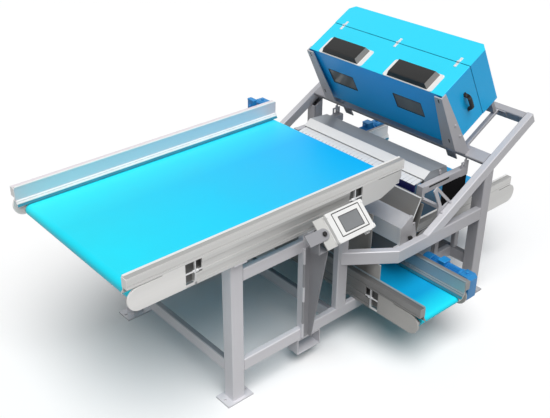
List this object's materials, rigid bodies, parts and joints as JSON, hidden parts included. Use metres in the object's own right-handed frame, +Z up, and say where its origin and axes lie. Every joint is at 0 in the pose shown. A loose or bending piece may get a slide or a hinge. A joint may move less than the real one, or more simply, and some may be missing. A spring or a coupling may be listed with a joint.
{
  "type": "potato sorter",
  "caption": "Optical potato sorter with an infeed belt, a tilted blue camera hood, a bank of ejector fingers, a divider plate, cross and takeaway conveyors and a swinging operator panel.",
  "frame": {"origin": "on the floor, under the middle of the machine's box", "axes": "+X along the infeed belt's flow, towards the hood; +Y to the far side, away from the operator panel; +Z up"},
  "size_m": [3.425, 2.129, 1.8138],
  "materials": {
    "belt": "smooth blue conveyor belt",
    "rail_aluminium": "satin anodised",
    "steel": "brushed",
    "frame_paint": "satin light grey paint",
    "hood_paint": "satin blue paint",
    "motor_paint": "satin blue paint",
    "black_plastic": "matte black",
    "tinted_glass": "dark tinted pane",
    "white_paint": "white paint",
    "panel_plastic": "white plastic",
    "finger_plastic": "dark blue plastic",
    "divider_sheet": "dull sheet"
  },
  "bodies": {
    "frame": {"infeed_belt": "belt", "reject_belt": "belt", "takeaway_belt": "belt", "infeed_side_rails": "rail_aluminium", "reject_side_rails": "rail_aluminium", "takeaway_side_rails": "rail_aluminium", "infeed_end_plates": "rail_aluminium", "reject_end_plates": "rail_aluminium", "takeaway_end_plates": "rail_aluminium", "ejector_lid": "rail_aluminium", "camera_bar": "rail_aluminium", "infeed_bed": "steel", "reject_bed": "steel", "takeaway_bed": "steel", "take_up_units": "steel", "finger_shaft": "steel", "hood_hinges": "steel", "divider_beam": "steel", "chute_walls": "steel", "ejector_housing": "steel", "front_legs": "frame_paint", "rear_legs": "frame_paint", "frame_rails": "frame_paint", "cross_rails": "frame_paint", "posts": "frame_paint", "outrigger_arms": "frame_paint", "inclined_beams": "frame_paint", "fork_pockets": "frame_paint", "hood_cross_members": "frame_paint", "hood_supports": "frame_paint", "ejector_brackets": "frame_paint", "panel_hinge": "frame_paint", "hood_front_shell": "hood_paint", "infeed_gearmotor": "motor_paint", "reject_gearmotor": "motor_paint", "takeaway_gearmotor": "motor_paint", "fan_louvres": "black_plastic", "hood_handles": "black_plastic", "hood_windows": "tinted_glass", "fan_flanges": "white_paint"},
    "infeed_tail": {"infeed_tail_roller": "steel"},
    "infeed_drive": {"infeed_drive_roller": "steel"},
    "reject_tail": {"reject_tail_roller": "steel"},
    "reject_drive": {"reject_drive_roller": "steel"},
    "takeaway_tail": {"takeaway_tail_roller": "steel"},
    "takeaway_drive": {"takeaway_drive_roller": "steel"},
    "fingers_1": {"finger_bank_1": "finger_plastic"},
    "fingers_2": {"finger_bank_2": "finger_plastic"},
    "fingers_3": {"finger_bank_3": "finger_plastic"},
    "fingers_4": {"finger_bank_4": "finger_plastic"},
    "cover": {"hood_rear_cover": "hood_paint", "hood_hinge_leaves": "steel"},
    "fan_far": {"fan_impeller_far": "black_plastic"},
    "fan_near": {"fan_impeller_near": "black_plastic"},
    "divider": {"divider_plate": "divider_sheet"},
    "divider_clamp": {"divider_knob": "black_plastic"},
    "arm": {"panel_arm": "frame_paint"},
    "panel": {"panel_case": "panel_plastic", "panel_screen": "tinted_glass"},
    "panel_clamp": {"panel_knob": "black_plastic"}
  },
  "joints": [
    {"name": "infeed_tail_spin", "type": "hinge", "parent": "frame", "child": "infeed_tail", "pos_m": [-1.62, 0.0905, 1.0747], "axis": [0, 1, 0], "continuous": true},
    {"name": "infeed_drive_spin", "type": "hinge", "parent": "frame", "child": "infeed_drive", "pos_m": [0.325, 0.0905, 1.0917], "axis": [0, 1, 0], "continuous": true},
    {"name": "reject_tail_spin", "type": "hinge", "parent": "frame", "child": "reject_tail", "pos_m": [0.267, 0.7305, 0.3397], "axis": [1, 0, 0], "continuous": true},
    {"name": "reject_drive_spin", "type": "hinge", "parent": "frame", "child": "reject_drive", "pos_m": [0.267, -1.0115, 0.3567], "axis": [1, 0, 0], "continuous": true},
    {"name": "takeaway_tail_spin", "type": "hinge", "parent": "frame", "child": "takeaway_tail", "pos_m": [0.658, 0.0905, 0.5117], "axis": [0, 1, 0], "continuous": true},
    {"name": "takeaway_drive_spin", "type": "hinge", "parent": "frame", "child": "takeaway_drive", "pos_m": [1.618, 0.0905, 0.5287], "axis": [0, 1, 0], "continuous": true},
    {"name": "finger_swing_1", "type": "hinge", "parent": "frame", "child": "fingers_1", "pos_m": [0.69, 0.0905, 0.957], "axis": [0, -1, 0], "range_deg": [0, 20]},
    {"name": "finger_swing_2", "type": "hinge", "parent": "frame", "child": "fingers_2", "pos_m": [0.69, 0.0905, 0.957], "axis": [0, -1, 0], "range_deg": [0, 20]},
    {"name": "finger_swing_3", "type": "hinge", "parent": "frame", "child": "fingers_3", "pos_m": [0.69, 0.0905, 0.957], "axis": [0, -1, 0], "range_deg": [0, 20]},
    {"name": "finger_swing_4", "type": "hinge", "parent": "frame", "child": "fingers_4", "pos_m": [0.69, 0.0905, 0.957], "axis": [0, -1, 0], "range_deg": [0, 20]},
    {"name": "cover_lift", "type": "hinge", "parent": "frame", "child": "cover", "pos_m": [0.97212, 0.0905, 1.72003], "axis": [0, -1, 0], "range_deg": [0, 70]},
    {"name": "fan_far_spin", "type": "hinge", "parent": "frame", "child": "fan_far", "pos_m": [0.79454, 0.4055, 1.59073], "axis": [-0.4848, 0, 0.8746], "continuous": true},
    {"name": "fan_near_spin", "type": "hinge", "parent": "frame", "child": "fan_near", "pos_m": [0.79454, -0.2245, 1.59073], "axis": [-0.4848, 0, 0.8746], "continuous": true},
    {"name": "divider_tilt", "type": "hinge", "parent": "frame", "child": "divider", "pos_m": [0.443, 0.0905, 0.752], "axis": [0, 1, 0], "range_deg": [-10, 8]},
    {"name": "divider_clamp_turn", "type": "hinge", "parent": "frame", "child": "divider_clamp", "pos_m": [0.388, -0.6295, 0.684], "axis": [0, 1, 0], "continuous": true},
    {"name": "panel_swing", "type": "hinge", "parent": "frame", "child": "arm", "pos_m": [-0.47, -0.5335, 0.56], "axis": [0, 0, -1], "range_deg": [0, 25]},
    {"name": "panel_turn", "type": "hinge", "parent": "arm", "child": "panel", "pos_m": [-0.434, -0.6482, 1.03742], "axis": [0, 0.6921, -0.7218], "range_deg": [0, 20]},
    {"name": "panel_clamp_turn", "type": "hinge", "parent": "arm", "child": "panel_clamp", "pos_m": [-0.434, -0.65928, 1.04897], "axis": [0, 0.6921, -0.7218], "continuous": true}
  ],
  "couplings": [
    {"joint": "infeed_drive_spin", "follows": "infeed_tail_spin", "ratio": 1.85},
    {"joint": "reject_drive_spin", "follows": "reject_tail_spin", "ratio": 1.85},
    {"joint": "takeaway_drive_spin", "follows": "takeaway_tail_spin", "ratio": 1.85}
  ]
}
